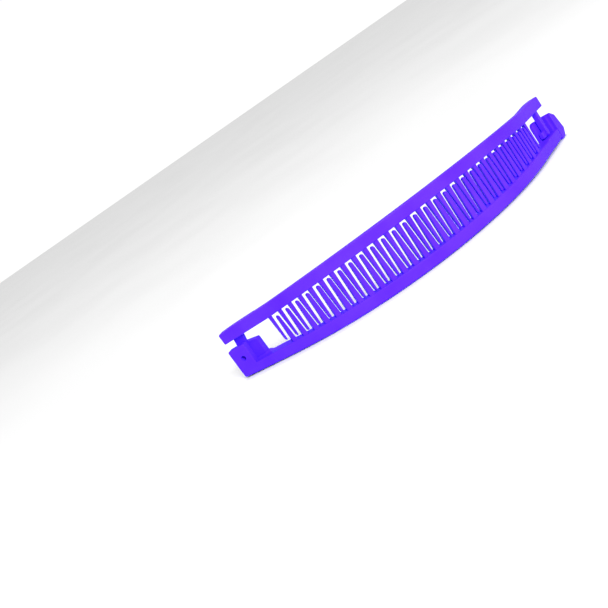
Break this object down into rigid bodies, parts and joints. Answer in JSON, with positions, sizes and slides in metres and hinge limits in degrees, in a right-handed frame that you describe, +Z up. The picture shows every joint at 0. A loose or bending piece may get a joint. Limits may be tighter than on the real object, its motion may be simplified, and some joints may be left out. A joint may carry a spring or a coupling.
{
  "type": "banana hair clip",
  "caption": "Arched banana hair clip: two combs with interlocking teeth, hinged at one end and hooked into an open box at the other.",
  "frame": {"origin": "bottom centre of the closed clip's box, lying on the flank of the fixed arm as it would by itself", "axes": "+X from the hinge end to the clasp end, -Y out of the arch's rounded side, +Z up, across from the fixed arm to the swinging arm"},
  "size_m": [0.1537, 0.039, 0.0233],
  "materials": {
    "purple_plastic": "opaque moulded plastic, satin to glossy",
    "pin_steel": "drawn wire"
  },
  "bodies": {
    "root": {"comb_fixed": "purple_plastic", "hinge_pin": "pin_steel"},
    "swinging_arm": {"comb_swinging": "purple_plastic"}
  },
  "joints": [
    {"name": "hinge", "type": "hinge", "parent": "root", "child": "swinging_arm", "pos_m": [-0.07123, 0.01383, 0.00683], "axis": [-0.5962, -0.8009, 0.0558], "range_deg": [0, 90]}
  ]
}
